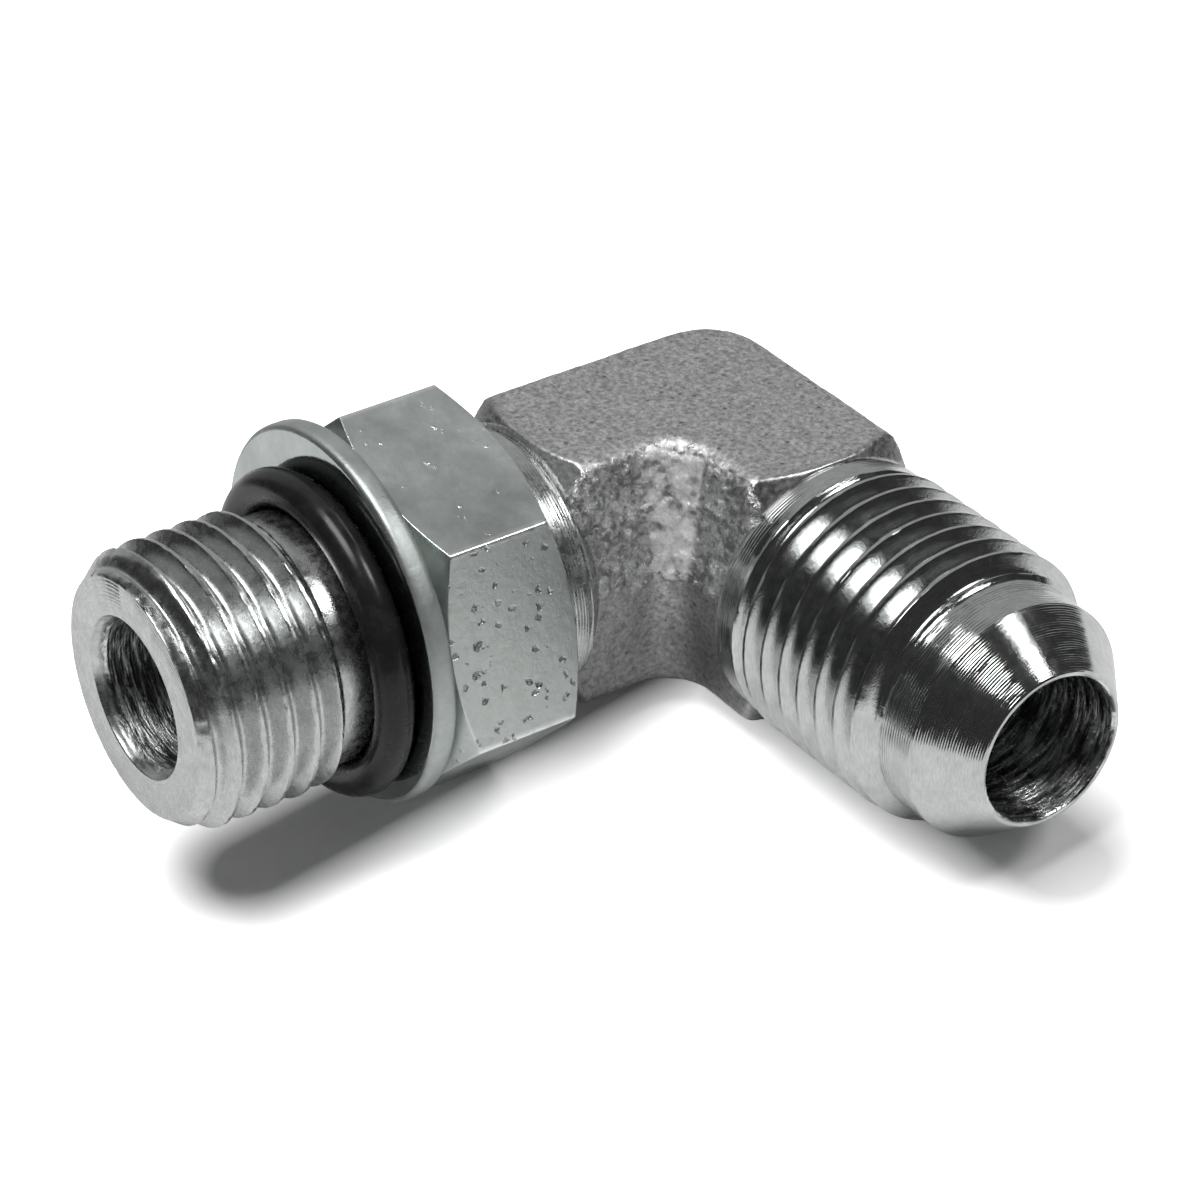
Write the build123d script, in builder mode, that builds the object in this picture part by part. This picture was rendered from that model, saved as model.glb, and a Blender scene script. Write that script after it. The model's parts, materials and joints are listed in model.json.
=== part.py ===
"""Adjustable elbow fitting: a forged 90 degree body with a flared male end and a straight-thread
stud end, which carries a lock nut, a back-up washer and a sealing ring."""

import os
from math import cos, radians, sin, tan

from build123d import *

# Driving dimensions, in millimetres and degrees

# Thread of both ends, 9/16-18 in the unified fine series
thread_radius = 7.1
thread_pitch = 1.411
flank_angle = 30
crest_width = thread_pitch / 8
thread_depth = 0.6134 * thread_pitch
pitch_radius = thread_radius - 0.3248 * thread_pitch

# Forging
leg_half_width = 5.25
leg_half_height = 7.0
draft_angle = 6.8
heel_radius = 4.2
crotch_radius = 1.6
pad_edge_radius = 0.8
corner_cut_angle = 38
leg_flare_length = 2.0
leg_flare_radius = 4.3

# Passage, drilled from both ends
bore_radius = 3.75
drill_point_angle = 59
drill_overrun = 1.0

# Flared end, measured from the corner of the elbow along the outlet
flare_shoulder = 10.8
flare_shoulder_radius = 6.9
flare_shoulder_length = 1.4
flare_thread_end = 21.88
flare_lead_in = 0.9
flare_shank_radius = 6.17
flare_shank_end = 25.08
flare_angle = 37
flare_lip_radius = 4.06
flare_mouth_break = 0.09
flare_mouth_angle = 45

# Stud end, measured from the corner of the elbow along the stud
stud_shoulder = 10.9
stud_collar_radius = 6.9
stud_collar_length = 2.05
stud_collar_break = 0.3
neck_start = 20.35
neck_radius = 6.37
stud_first_crest = 25.63
stud_crests = 5
stud_length = 32.74
stud_tip_radius = 6.1
stud_mouth_radius = 4.13
stud_mouth_angle = 30

# Lock nut
nut_across_flats = 17.46
nut_start = 13.2
nut_thickness = 7.3
nut_face_radius = 8.4
nut_chamfer_angle = 30
nut_turn = -13.3
nut_clearance = 0.06
nut_mouth_radius = 7.25

# Back-up washer, loose on the neck
washer_radius = 9.65
washer_bore_radius = 7.2
washer_thickness = 1.25
washer_rim_radius = 0.4
washer_lift = 0.4
washer_drift = -0.3
washer_gap = 0.04

# Sealing ring
ring_section_radius = 0.965
ring_fit = 0.03
ring_gap = 0.1


# How the fitting lies: on a nut corner, the heel and the tip of the flared end's thread

nut_corner_radius = nut_across_flats / 2 / cos(radians(30))
low_corner_angle = radians(nut_turn + 180)
nut_corner_drop = (nut_corner_radius - nut_face_radius) * tan(radians(nut_chamfer_angle))
foot_on_nut = Vector(
    nut_corner_radius * sin(low_corner_angle),
    -(nut_start + nut_corner_drop),
    nut_corner_radius * cos(low_corner_angle),
)
draft_inset = leg_half_height * tan(radians(draft_angle))
pad_half_width = leg_half_width - draft_inset - pad_edge_radius / 2
foot_on_heel = Vector(-pad_half_width / 2, pad_half_width, -leg_half_height)
foot_on_flare = Vector(flare_thread_end, 0, -thread_radius)
floor_normal = (foot_on_flare - foot_on_nut).cross(foot_on_heel - foot_on_nut).normalized()
flare_along_floor = Vector(1, 0, 0) - floor_normal * floor_normal.X
floor = Plane(origin=(0, 0, 0), x_dir=flare_along_floor.normalized(), z_dir=floor_normal)

# The elbow's own directions, once the floor is level

flare_dir = floor.to_local_coords(Vector(1, 0, 0))
stud_dir = floor.to_local_coords(Vector(0, -1, 0))
up_dir = floor.to_local_coords(Vector(0, 0, 1))
elbow_plane = Plane(origin=(0, 0, 0), x_dir=flare_dir, z_dir=up_dir)
flare_axis = Axis((0, 0, 0), flare_dir)
stud_axis = Axis((0, 0, 0), stud_dir)
flare_profile = Plane(origin=(0, 0, 0), x_dir=flare_dir, z_dir=flare_dir.cross(up_dir))
stud_profile = Plane(origin=(0, 0, 0), x_dir=stud_dir, z_dir=stud_dir.cross(up_dir))


def across_stud(distance, lift=0, drift=0):
    """A plane square to the stud, at a distance from the corner of the elbow."""
    centre = stud_dir * distance + up_dir * lift + flare_dir * drift
    return Plane(origin=centre, x_dir=flare_dir, z_dir=stud_dir)


def thread_outline(first_crest, crests):
    """Points along a row of thread crests, as distance and radius, from one side to the other."""
    half_crest = crest_width / 2
    flank = thread_depth * tan(radians(flank_angle))
    root = thread_radius - thread_depth
    points = []
    for number in range(crests):
        crest = first_crest + number * thread_pitch
        if number > 0:
            points.append((crest - half_crest - flank, root))
        points.append((crest - half_crest, thread_radius))
        points.append((crest + half_crest, thread_radius))
        if number < crests - 1:
            points.append((crest + half_crest + flank, root))
    return points


# Flared end: how many crests fit between its shoulder and its tip

flare_last_crest = flare_thread_end - crest_width / 2
flare_thread_room = flare_last_crest - (flare_shoulder + flare_shoulder_length)
flare_crests = int(flare_thread_room / thread_pitch) + 1
flare_first_crest = flare_last_crest - (flare_crests - 1) * thread_pitch
flare_nose = flare_shank_end + (flare_shank_radius - flare_lip_radius) / tan(radians(flare_angle))
flank_run = (thread_radius - neck_radius) * tan(radians(flank_angle))

flare_outline = [
    (flare_shoulder - leg_flare_length, 0),
    (flare_shoulder - leg_flare_length, leg_flare_radius),
    (flare_shoulder, flare_shoulder_radius),
    (flare_shoulder + flare_shoulder_length, flare_shoulder_radius),
    *thread_outline(flare_first_crest, flare_crests),
    (flare_thread_end + flare_lead_in, flare_shank_radius),
    (flare_shank_end, flare_shank_radius),
    (flare_nose, flare_lip_radius),
    (flare_nose, 0),
]

# Stud end: collar, plain length under the nut, neck for the ring, then the thread

collar_end = stud_shoulder + stud_collar_length
stud_outline = [
    (stud_shoulder - leg_flare_length, 0),
    (stud_shoulder - leg_flare_length, leg_flare_radius),
    (stud_shoulder, stud_collar_radius),
    (collar_end - stud_collar_break, stud_collar_radius),
    (collar_end, pitch_radius),
    (neck_start, pitch_radius),
    (neck_start + pitch_radius - neck_radius, neck_radius),
    (stud_first_crest - crest_width / 2 - flank_run, neck_radius),
    *thread_outline(stud_first_crest, stud_crests),
    (stud_length, stud_tip_radius),
    (stud_length, 0),
]


def turned_outline(plane, points):
    """A closed outline for turning, from points as distance along the axis and radius."""
    with BuildSketch(plane) as outline:
        with BuildLine():
            Polyline(*points, close=True)
        make_face()
    return outline.sketch


def corner_cut(plane, shoulder, radius):
    """What a sloping cut takes from the forging's corners behind a shoulder."""
    outer = 2 * leg_half_height
    slope_length = (outer - radius) / tan(radians(90 - corner_cut_angle))
    points = [
        (shoulder, radius),
        (shoulder - slope_length, outer),
        (shoulder + radius, outer),
        (shoulder + radius, radius),
    ]
    return turned_outline(plane, points)


def passage(plane, mouth, mouth_radius, mouth_angle):
    """The hole drilled along one leg past the corner of the elbow, with the edge of its mouth broken."""
    point_length = bore_radius / tan(radians(drill_point_angle))
    mouth_depth = (mouth_radius - bore_radius) / tan(radians(mouth_angle))
    points = [
        (-drill_overrun - point_length, 0),
        (-drill_overrun, bore_radius),
        (mouth - mouth_depth, bore_radius),
        (mouth, mouth_radius),
        (mouth, 0),
    ]
    return turned_outline(plane, points)


flare_cut = corner_cut(flare_profile, flare_shoulder, flare_shoulder_radius)
stud_cut = corner_cut(stud_profile, stud_shoulder, stud_collar_radius)
flare_end = turned_outline(flare_profile, flare_outline)
stud_end = turned_outline(stud_profile, stud_outline)
flare_hole = passage(flare_profile, flare_nose, bore_radius + flare_mouth_break, flare_mouth_angle)
stud_hole = passage(stud_profile, stud_length, stud_mouth_radius, stud_mouth_angle)

# Body: the forging, then its turned ends, then the passage

heel = (-leg_half_width, leg_half_width)
crotch = (leg_half_width, -leg_half_width)

with BuildPart() as elbow_body:
    with BuildSketch(elbow_plane) as parting_outline:
        with BuildLine():
            Polyline(
                heel,
                (-leg_half_width, -stud_shoulder),
                (leg_half_width, -stud_shoulder),
                crotch,
                (flare_shoulder, -leg_half_width),
                (flare_shoulder, leg_half_width),
                close=True,
            )
        make_face()
        fillet(parting_outline.vertices().sort_by_distance(heel)[0], heel_radius)
        fillet(parting_outline.vertices().sort_by_distance(crotch)[0], crotch_radius)
    with BuildSketch(elbow_plane.offset(leg_half_height)):
        add(parting_outline.sketch_local)
        offset(amount=-draft_inset, mode=Mode.REPLACE)
    loft(ruled=True)
    pad = elbow_body.faces().sort_by(Axis((0, 0, 0), up_dir))[-1]
    fillet(pad.edges(), pad_edge_radius)
    mirror(about=elbow_plane)
    revolve(flare_cut, axis=flare_axis, mode=Mode.SUBTRACT)
    revolve(stud_cut, axis=stud_axis, mode=Mode.SUBTRACT)
    revolve(flare_end, axis=flare_axis)
    revolve(stud_end, axis=stud_axis)
    revolve(flare_hole, axis=flare_axis, mode=Mode.SUBTRACT)
    revolve(stud_hole, axis=stud_axis, mode=Mode.SUBTRACT)

# Lock nut: hexagon with both faces chamfered, and a countersunk hole

nut_end = nut_start + nut_thickness
nut_bore_radius = pitch_radius + nut_clearance
nut_mouth_depth = (nut_mouth_radius - nut_bore_radius) * tan(radians(flank_angle))

with BuildPart() as lock_nut:
    with BuildSketch(across_stud(nut_start)):
        RegularPolygon(radius=nut_corner_radius, side_count=6, rotation=90 - nut_turn)
        Circle(nut_bore_radius, mode=Mode.SUBTRACT)
    extrude(amount=nut_thickness)
    with BuildSketch(stud_profile):
        with BuildLine():
            Polyline(
                (nut_start, 0),
                (nut_start, nut_face_radius),
                (nut_start + nut_corner_drop, nut_corner_radius),
                (nut_end - nut_corner_drop, nut_corner_radius),
                (nut_end, nut_face_radius),
                (nut_end, 0),
                close=True,
            )
        make_face()
    revolve(axis=stud_axis, mode=Mode.INTERSECT)
    mouths = lock_nut.edges().filter_by(GeomType.CIRCLE).group_by(SortBy.RADIUS)[0]
    chamfer(mouths, nut_mouth_depth, nut_mouth_radius - nut_bore_radius)

# Back-up washer: a flat ring with a rounded rim, hanging a little off centre on the neck

washer_start = nut_end + washer_gap

with BuildPart() as backup_washer:
    with BuildSketch(across_stud(washer_start, washer_lift, washer_drift)):
        Circle(washer_radius)
        Circle(washer_bore_radius, mode=Mode.SUBTRACT)
    extrude(amount=washer_thickness)
    rim = backup_washer.edges().filter_by(GeomType.CIRCLE).group_by(SortBy.RADIUS)[-1]
    fillet(rim, washer_rim_radius)

# Sealing ring: round section, seated on the neck in front of the washer

ring_start = washer_start + washer_thickness + ring_gap

with BuildPart() as o_ring:
    with BuildSketch(stud_profile):
        ring_centre = (ring_start + ring_section_radius, neck_radius + ring_fit + ring_section_radius)
        with Locations(ring_centre):
            Circle(ring_section_radius)
    revolve(axis=stud_axis)

# Write one file for each piece

os.makedirs("parts", exist_ok=True)

elbow_body.part.label = "elbow_body"
lock_nut.part.label = "lock_nut"
backup_washer.part.label = "backup_washer"
o_ring.part.label = "o_ring"

export_step(elbow_body.part, "parts/elbow_body.step")
export_step(lock_nut.part, "parts/lock_nut.step")
export_step(backup_washer.part, "parts/backup_washer.step")
export_step(o_ring.part, "parts/o_ring.step")
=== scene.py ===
"""Adjustable elbow fitting: the looks of its four pieces, and the stage around them."""

import json
from math import cos, degrees, pi, radians, sin, tan

import bmesh
import bpy
import numpy as np
from bpy.props import FloatProperty, FloatVectorProperty, IntProperty, PointerProperty
from mathutils import Matrix, Vector, noise


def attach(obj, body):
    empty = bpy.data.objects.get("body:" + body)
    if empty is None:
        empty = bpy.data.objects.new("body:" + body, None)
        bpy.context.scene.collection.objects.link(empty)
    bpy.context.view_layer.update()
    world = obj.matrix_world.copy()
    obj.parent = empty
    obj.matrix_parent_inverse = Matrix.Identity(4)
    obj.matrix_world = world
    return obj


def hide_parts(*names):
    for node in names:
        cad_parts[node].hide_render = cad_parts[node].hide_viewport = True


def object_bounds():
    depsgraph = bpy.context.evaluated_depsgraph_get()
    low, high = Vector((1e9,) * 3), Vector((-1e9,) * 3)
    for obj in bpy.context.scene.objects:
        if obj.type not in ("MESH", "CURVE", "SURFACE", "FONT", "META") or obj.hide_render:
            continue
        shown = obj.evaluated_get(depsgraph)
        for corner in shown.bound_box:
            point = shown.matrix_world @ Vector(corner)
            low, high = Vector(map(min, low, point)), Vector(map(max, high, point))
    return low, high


bl_info = {
    "name": "Adjustable elbow fitting",
    "version": (1, 0, 0),
    "blender": (4, 5, 0),
    "location": "3D View > Sidebar > Fitting",
    "description": "Dresses a forged elbow fitting with real threads, torn forging and turned metal",
    "category": "Object",
}

MM = 0.001
WALL_DIRECTION = (-0.80, 0.52, 0.30)

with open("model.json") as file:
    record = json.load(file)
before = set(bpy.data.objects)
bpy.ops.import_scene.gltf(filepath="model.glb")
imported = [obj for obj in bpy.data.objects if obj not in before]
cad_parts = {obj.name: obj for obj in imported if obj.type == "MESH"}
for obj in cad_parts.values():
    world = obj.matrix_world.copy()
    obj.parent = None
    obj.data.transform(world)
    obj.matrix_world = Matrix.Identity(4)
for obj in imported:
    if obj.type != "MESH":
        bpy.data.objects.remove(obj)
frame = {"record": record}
cad_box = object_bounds()

# The elbow's own directions, from the record's two drilled holes

mounts = {mount["name"]: mount for mount in frame["record"]["mounts"]}
flare_dir = Vector(mounts["flare_bore"]["axis"])
stud_dir = Vector(mounts["stud_bore"]["axis"])
up_dir = flare_dir.cross(-stud_dir).normalized()
crest_radius = mounts["flare_thread"]["dims"]["r_mm"] * MM
bore_radius = mounts["flare_bore"]["dims"]["r_mm"] * MM


def length(name, description, millimetres):
    """A size in a property group, given in millimetres and kept in metres."""
    return FloatProperty(
        name=name, description=description, default=millimetres * MM, unit="LENGTH", precision=5
    )


def colour(name, description, red, green, blue):
    """A colour in a property group."""
    return FloatVectorProperty(
        name=name, description=description, default=(red, green, blue), subtype="COLOR", min=0, max=1
    )


# Sizes and colours that a user would change


class ThreadSizes(bpy.types.PropertyGroup):
    """The thread that both ends and the nut share."""

    pitch: length("Pitch", "Distance from one crest to the next", 1.411)
    depth: length("Depth", "Height of a crest over the root", 0.866)
    crest_width: length("Crest width", "Width of the flat on a crest", 0.176)
    root_round: length("Root rounding", "How softly the two sides of a groove meet", 0.24)
    crest_round: length("Crest rounding", "How softly a crest's edges are broken", 0.018)
    nick: length("Nicks", "Depth of the dents in the crests", 0.05)
    side_angle: FloatProperty(
        name="Side angle",
        description="Angle of a groove's side from a plane across the axis",
        default=radians(30),
        subtype="ANGLE",
    )
    columns: IntProperty(name="Columns", description="Faces around a thread", default=192, min=48)
    rows: IntProperty(name="Rows", description="Faces along one pitch", default=20, min=12)


class ForgingSizes(bpy.types.PropertyGroup):
    """The forged corner between the two turned ends."""

    half_width: length("Half width", "Half of a leg's width at the parting line", 5.25)
    half_height: length("Half height", "From the parting line to a pad", 7.0)
    heel_radius: length("Heel radius", "Rounding of the outer corner", 4.2)
    crotch_radius: length("Crotch radius", "Rounding of the inner corner", 1.6)
    edge_radius: length("Edge radius", "Rounding around the two pads", 0.8)
    leg_length: length("Leg length", "From the corner of the elbow to a turned end", 10.85)
    cut_radius: length("Cut radius", "Where the turning tool leaves the forging's corners", 6.9)
    grain: length("Grain", "Size of one face of the forged surface", 0.15)
    tear_height: length("Tear height", "Height of the torn metal over the inner walls", 0.2)
    lip_height: length("Lip height", "How far the trimmed flash stands out", 0.14)
    draft: FloatProperty(
        name="Draft", description="Slope of the walls", default=radians(6.8), subtype="ANGLE"
    )
    cut_angle: FloatProperty(
        name="Cut angle",
        description="Slope of the turned cut from the axis",
        default=radians(52),
        subtype="ANGLE",
    )
    metal: colour("Metal", "Forged steel", 0.58, 0.58, 0.58)
    bright: colour("Bright metal", "Torn steel on the inner walls", 0.86, 0.87, 0.86)
    # The speck colour is also the colour of the painted shade below the parting line
    speck_and_shade: colour("Speck", "Small dark scale marks", 0.16, 0.16, 0.16)


class FlareSizes(bpy.types.PropertyGroup):
    """The flared end, measured from the corner of the elbow."""

    root: length("Root", "Where the turned end starts, inside the forging", 8.8)
    shoulder: length("Shoulder", "End of the forging", 10.8)
    shoulder_radius: length("Shoulder radius", "Radius behind the thread", 6.9)
    thread_start: length("Thread start", "Where the full blank of the thread starts", 12.75)
    first_crest: length("First crest", "Centre of the first crest on the camera's side", 13.33)
    thread_end: length("Thread end", "Where the lead-in starts", 21.88)
    shank_start: length("Shank start", "Where the lead-in ends", 22.77)
    shank_end: length("Shank end", "Where the cone starts", 25.08)
    shank_radius: length("Shank radius", "Radius between the thread and the cone", 6.17)
    nose: length("Nose", "The flared end's tip", 27.88)
    nose_radius: length("Nose radius", "Outer radius of the tip", 4.06)
    lip_radius: length("Lip radius", "Inner radius of the tip", 3.84)


class StudSizes(bpy.types.PropertyGroup):
    """The stud end, measured from the corner of the elbow."""

    root: length("Root", "Where the turned end starts, inside the forging", 8.9)
    shoulder: length("Shoulder", "End of the forging", 10.9)
    collar_radius: length("Collar radius", "Radius of the collar behind the nut", 6.9)
    groove_radius: length("Groove radius", "Radius of the tool's groove beside the forging", 6.62)
    groove_end: length("Groove end", "Where the groove gives way to the collar", 11.3)
    collar_end: length("Collar end", "Front of the collar", 12.85)
    neck_start: length("Neck start", "Where the thread under the nut ends", 20.35)
    neck_radius: length("Neck radius", "Radius under the sealing ring", 6.37)
    neck_end: length("Neck end", "Where the front thread starts", 25.08)
    first_crest: length("First crest", "Centre of the front thread's first crest", 25.63)
    thread_end: length("Thread end", "Where the lead-in starts", 31.4)
    tip: length("Tip", "End face of the stud", 32.74)
    tip_radius: length("Tip radius", "Outer radius of the end face", 6.1)
    mouth_radius: length("Mouth radius", "Radius of the countersink at the end face", 4.13)
    mouth_depth: length("Mouth depth", "Depth of the countersink", 0.66)


class TurnedColours(bpy.types.PropertyGroup):
    """The turned metal of both ends."""

    metal: colour("Metal", "Turned steel", 0.66, 0.675, 0.67)
    bore: colour("Bore", "Drilled steel", 0.85, 0.87, 0.87)
    feed: length("Feed", "Spacing of the tool's rings", 0.17)


class NutSizes(bpy.types.PropertyGroup):
    """The lock nut."""

    across_flats: length("Across flats", "Width between two flats", 17.46)
    start: length("Start", "Back face, from the corner of the elbow", 13.2)
    thickness: length("Thickness", "Between the two faces", 7.3)
    face_radius: length("Face radius", "Radius of a face inside its chamfer", 8.4)
    mouth_radius: length("Mouth radius", "Radius of the countersink round the hole", 7.25)
    edge_round: length("Edge rounding", "How softly two flats meet", 0.1)
    clearance: length("Clearance", "Running clearance of the thread", 0.06)
    turn: FloatProperty(
        name="Turn",
        description="Angle of a corner from the fitting's top, towards the flared end",
        default=radians(-13.3),
        subtype="ANGLE",
    )
    chamfer: FloatProperty(
        name="Chamfer", description="Slope of the chamfer from a face", default=radians(30), subtype="ANGLE"
    )
    metal: colour("Metal", "Zinc-plated steel", 0.60, 0.64, 0.62)
    pit: colour("Pit", "Dark pits in the plate", 0.13, 0.14, 0.135)


class WasherSizes(bpy.types.PropertyGroup):
    """The back-up washer."""

    radius: length("Radius", "Outer radius", 9.65)
    bore: length("Bore", "Inner radius", 7.2)
    start: length("Start", "Back face, from the corner of the elbow", 20.54)
    thickness: length("Thickness", "Between the two faces", 1.25)
    rim_radius: length("Rim radius", "Rounding of the rim", 0.4)
    lift: length("Lift", "How far it hangs above the axis", 0.4)
    drift: length("Drift", "How far it hangs towards the flared end", -0.3)
    metal: colour("Metal", "Zinc-plated steel", 0.50, 0.535, 0.52)


class RingSizes(bpy.types.PropertyGroup):
    """The sealing ring."""

    section_radius: length("Section radius", "Radius of its round section", 0.965)
    centre_radius: length("Centre radius", "Radius of the circle that the section runs along", 7.365)
    along: length("Along", "Its middle, from the corner of the elbow", 22.855)
    rubber: colour("Rubber", "Black rubber", 0.012, 0.012, 0.012)


class StageSizes(bpy.types.PropertyGroup):
    """Camera, floor and lights."""

    camera_place: FloatVectorProperty(
        name="Camera place",
        description="Where the camera stands",
        default=(0.15431, -0.08985, 0.12641),
        subtype="TRANSLATION",
    )
    camera_turn: FloatVectorProperty(
        name="Camera turn",
        description="How the camera is turned",
        default=(radians(52.748), radians(8.638), radians(55.587)),
        subtype="EULER",
    )
    lens: FloatProperty(name="Lens", description="Focal length in millimetres", default=129.54)
    shift: FloatVectorProperty(
        name="Shift", description="Lens shift, sideways and up", default=(0.01645, 0.02037), size=2
    )
    floor: colour("Floor", "White paper", 0.86, 0.86, 0.86)


# Meshes


def axes_of(direction):
    """The three directions of a turned piece: up, sideways and along."""
    side = direction.cross(up_dir).normalized()
    return np.array([up_dir, side, direction])


def smooth_min(one, other, width):
    """The lesser of two values, with the change from one to the other rounded over a width."""
    share = np.clip(0.5 + 0.5 * (other - one) / width, 0, 1)
    return other * (1 - share) + one * share - width * share * (1 - share)


def smooth_max(one, other, width):
    """The greater of two values, rounded in the same way."""
    return -smooth_min(-one, -other, width)


def smooth_step(low, high, value):
    """0 below low, 1 above high, and a soft change between them."""
    share = np.clip((value - low) / (high - low), 0, 1)
    return share * share * (3 - 2 * share)


def rounded(points, radius):
    """An outline with each inner corner rounded by a short curve."""
    made = [points[0]]
    for before, here, after in zip(points, points[1:], points[2:]):
        before, here, after = Vector(before), Vector(here), Vector(after)
        back, on = before - here, after - here
        setback = min(radius, back.length * 0.4, on.length * 0.4)
        first = here + back.normalized() * setback
        last = here + on.normalized() * setback
        for share in (0, 0.25, 0.5, 0.75, 1):
            bend = first.lerp(here, share).lerp(here.lerp(last, share), share)
            made.append(tuple(bend))
    made.append(points[-1])
    return made


def add_object(name, vertices, faces, marks):
    """A new mesh object with smooth shading, no doubled points and a mark at each point for its material."""
    mesh = bpy.data.meshes.new(name)
    mesh.from_pydata(vertices, [], faces)
    kept = mesh.attributes.new("mark", "FLOAT", "POINT")
    kept.data.foreach_set("value", marks)
    work = bmesh.new()
    work.from_mesh(mesh)
    bmesh.ops.remove_doubles(work, verts=work.verts, dist=1e-7)
    bmesh.ops.dissolve_degenerate(work, edges=work.edges, dist=1e-7)
    bmesh.ops.recalc_face_normals(work, faces=work.faces)
    work.to_mesh(mesh)
    work.free()
    mesh.shade_smooth()
    mesh.set_sharp_from_angle(angle=radians(38))
    made = bpy.data.objects.new(name, mesh)
    bpy.context.scene.collection.objects.link(made)
    return made


def turned_object(name, axes, centre, rows, angles):
    """A closed ring of rows turned about an axis.

    Each row gives how far along and how far out it lies at every angle. A third value is its mark for the
    material, which is full where none is given.
    """
    along = np.array([np.broadcast_to(row[0], angles.shape) for row in rows])
    out = np.array([np.broadcast_to(row[1], angles.shape) for row in rows])
    up, side, on = axes
    points = (
        np.asarray(centre)
        + along[..., None] * on
        + (out * np.cos(angles))[..., None] * up
        + (out * np.sin(angles))[..., None] * side
    )
    count, columns = along.shape
    index = np.arange(count * columns).reshape(count, columns)
    below = np.roll(index, -1, axis=0)
    faces = np.stack([index[:, :-1], index[:, 1:], below[:, 1:], below[:, :-1]], axis=-1)
    marks = np.array([np.broadcast_to(row[2] if len(row) > 2 else 1.0, angles.shape) for row in rows])
    return add_object(name, points.reshape(-1, 3).tolist(), faces.reshape(-1, 4).tolist(), marks.reshape(-1))


def groove_cut(thread, phase):
    """How deep the thread is cut at a place along it, counted in pitches from a crest's centre."""
    distance = np.abs(phase - np.round(phase)) * thread.pitch
    side = (distance - thread.crest_width / 2) / tan(thread.side_angle)
    cut = smooth_min(side, thread.depth, thread.root_round)
    return smooth_max(cut, 0.0, thread.crest_round)


def row_places(thread):
    """Where the rows lie within one pitch, closer together at the crest and at the root."""
    half = thread.crest_width / 2 / thread.pitch
    near = [0, half * 0.75, half, half * 1.25, 0.12, 0.2, 0.28, 0.34, 0.39, 0.43, 0.465, 0.5]
    return sorted([-place for place in near[1:-1]] + near)


def crest_nicks(angles, along, depth):
    """Small dents that handling leaves in the crests."""
    turns = along / MM
    wave = np.sin(23 * angles + 3.1 * turns) + np.sin(41 * angles - 5.3 * turns) + np.sin(67 * angles + 1.7)
    return depth * np.clip(wave - 1.1, 0, 1)


def threaded_rows(thread, angles, start, end, crest, radius_at):
    """Rows that climb with the thread between two places along the axis, with the radius at each."""
    turns = angles / (2 * pi)
    first = int((start - crest) / thread.pitch) - 2
    last = int((end - crest) / thread.pitch) + 2
    rows = []
    for number in range(first, last):
        for place in row_places(thread):
            base = crest + (number + place) * thread.pitch
            along = np.clip(base + turns * thread.pitch, start, end)
            if along.max() > start and along.min() < end:
                rows.append((along, radius_at(along), 0.0))
    return rows


# Materials


class Finish:
    """A procedural material under construction."""

    def __init__(self, name, metallic, roughness):
        self.material = bpy.data.materials.new(name)
        self.material.use_nodes = True
        self.tree = self.material.node_tree
        self.shader = self.tree.nodes["Principled BSDF"]
        self.shader.inputs["Metallic"].default_value = metallic
        self.shader.inputs["Roughness"].default_value = roughness
        self.place = self.node("TexCoord").outputs["Object"]

    def node(self, kind, settings=None, **inputs):
        """A new node with its settings and inputs, where an input is a value or another node's output."""
        made = self.tree.nodes.new("ShaderNode" + kind)
        for key, value in (settings or {}).items():
            setattr(made, key, value)
        for key, value in inputs.items():
            self.feed(made.inputs[key.replace("_", " ")], value)
        return made

    def feed(self, socket, value):
        """Sets a socket to a value, or links it to an output."""
        if isinstance(value, bpy.types.NodeSocket):
            self.tree.links.new(value, socket)
        else:
            socket.default_value = value

    def maths(self, operation, *values):
        """The result of a Math node."""
        made = self.node("Math", {"operation": operation})
        for socket, value in zip(made.inputs, values):
            self.feed(socket, value)
        return made.outputs[0]

    def dot(self, vector, direction):
        """How far a vector reaches along a direction."""
        made = self.node("VectorMath", {"operation": "DOT_PRODUCT"})
        self.feed(made.inputs[0], vector)
        self.feed(made.inputs[1], direction)
        return made.outputs["Value"]

    def noise(self, size, detail=2.0, roughness=0.5, vector=None, distortion=0.0):
        """Noise with features of a size in metres, from 0 to 1."""
        made = self.node("TexNoise", None, Scale=1 / size, Detail=detail, Roughness=roughness, Distortion=distortion)
        self.feed(made.inputs["Vector"], vector or self.place)
        return made.outputs["Fac"]

    def ramp(self, value, low, high, start=0.0, end=1.0):
        """A value taken from one range to another and kept inside it."""
        made = self.node("MapRange", None, Value=value)
        for key, number in zip(("From Min", "From Max", "To Min", "To Max"), (low, high, start, end)):
            made.inputs[key].default_value = number
        return made.outputs["Result"]

    def mix(self, share, one, other):
        """A blend of two colours."""
        made = self.node("Mix", {"data_type": "RGBA"})
        self.feed(made.inputs["Factor"], share)
        for socket, value in ((made.inputs["A"], one), (made.inputs["B"], other)):
            self.feed(socket, value if isinstance(value, bpy.types.NodeSocket) else (*value, 1))
        return made.outputs["Result"]

    def attribute(self, name):
        """A number kept on the mesh."""
        return self.node("Attribute", {"attribute_name": name}).outputs["Fac"]

    def bumps(self, *layers):
        """Bump from layers of (height from 0 to 1, depth in metres, strength), one over the other."""
        normal = None
        for height, depth, strength in layers:
            made = self.node("Bump", None, Height=height, Distance=depth, Strength=strength)
            if normal is not None:
                self.feed(made.inputs["Normal"], normal)
            normal = made.outputs["Normal"]
        self.feed(self.shader.inputs["Normal"], normal)


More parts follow.
